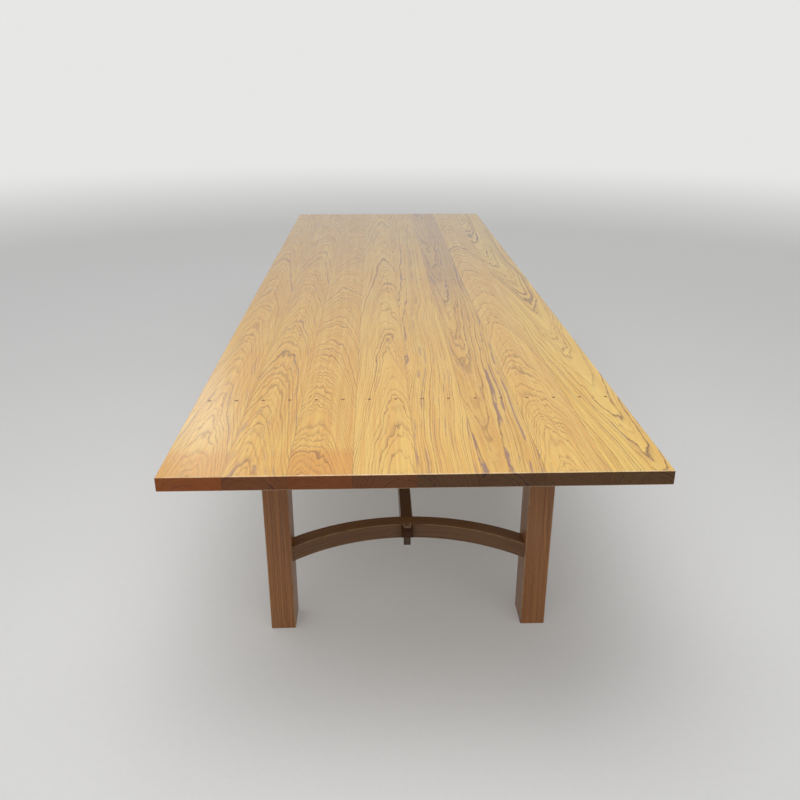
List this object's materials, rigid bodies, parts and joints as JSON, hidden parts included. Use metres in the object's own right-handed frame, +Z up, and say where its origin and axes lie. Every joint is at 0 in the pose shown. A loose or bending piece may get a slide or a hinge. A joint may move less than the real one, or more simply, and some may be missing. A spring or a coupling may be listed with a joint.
{
  "type": "trestle dining table",
  "caption": "Long oak dining table with a plank top on trestles of upright legs, joined by curved end stretchers and a wedged long stretcher.",
  "frame": {"origin": "on the floor under the middle of the table top", "axes": "+X across the table, +Y along its length away from the pictured end, +Z up"},
  "size_m": [1.2, 3.8, 0.75],
  "materials": {
    "top_oak": "satin lacquered honey oak",
    "base_oak": "satin brown stained oak",
    "tongue_wood": "bare plywood",
    "plug_wood": "dark plug end grain",
    "peg_oak": "bare oak",
    "wedge_oak": "satin brown oak",
    "screw_steel": "zinc plated"
  },
  "bodies": {
    "table": {"far_bearer": "base_oak", "far_curved_stretcher": "base_oak", "far_left_leg": "base_oak", "far_leg_pegs": "peg_oak", "far_right_leg": "base_oak", "far_row_plugs": "plug_wood", "far_row_screws": "screw_steel", "far_stretcher_pegs": "peg_oak", "long_stretcher": "base_oak", "middle_bearer": "base_oak", "middle_row_plugs": "plug_wood", "middle_row_screws": "screw_steel", "near_bearer": "base_oak", "near_curved_stretcher": "base_oak", "near_left_leg": "base_oak", "near_leg_pegs": "peg_oak", "near_right_leg": "base_oak", "near_row_plugs": "plug_wood", "near_row_screws": "screw_steel", "near_stretcher_pegs": "peg_oak", "top_board_1": "top_oak", "top_board_2": "top_oak", "top_board_3": "top_oak", "top_board_4": "top_oak", "top_board_5": "top_oak", "top_board_6": "top_oak", "top_board_7": "top_oak", "top_board_8": "top_oak", "top_tongue_1": "tongue_wood", "top_tongue_2": "tongue_wood", "top_tongue_3": "tongue_wood", "top_tongue_4": "tongue_wood", "top_tongue_5": "tongue_wood", "top_tongue_6": "tongue_wood", "top_tongue_7": "tongue_wood"},
    "near_wedge": {"near_wedge": "wedge_oak"},
    "far_wedge": {"far_wedge": "wedge_oak"}
  },
  "joints": [
    {"name": "near_wedge_lift", "type": "slide", "parent": "table", "child": "near_wedge", "axis": [0, 0, 1], "range_m": [0, 0.06]},
    {"name": "far_wedge_lift", "type": "slide", "parent": "table", "child": "far_wedge", "axis": [0, 0, 1], "range_m": [0, 0.06]}
  ]
}
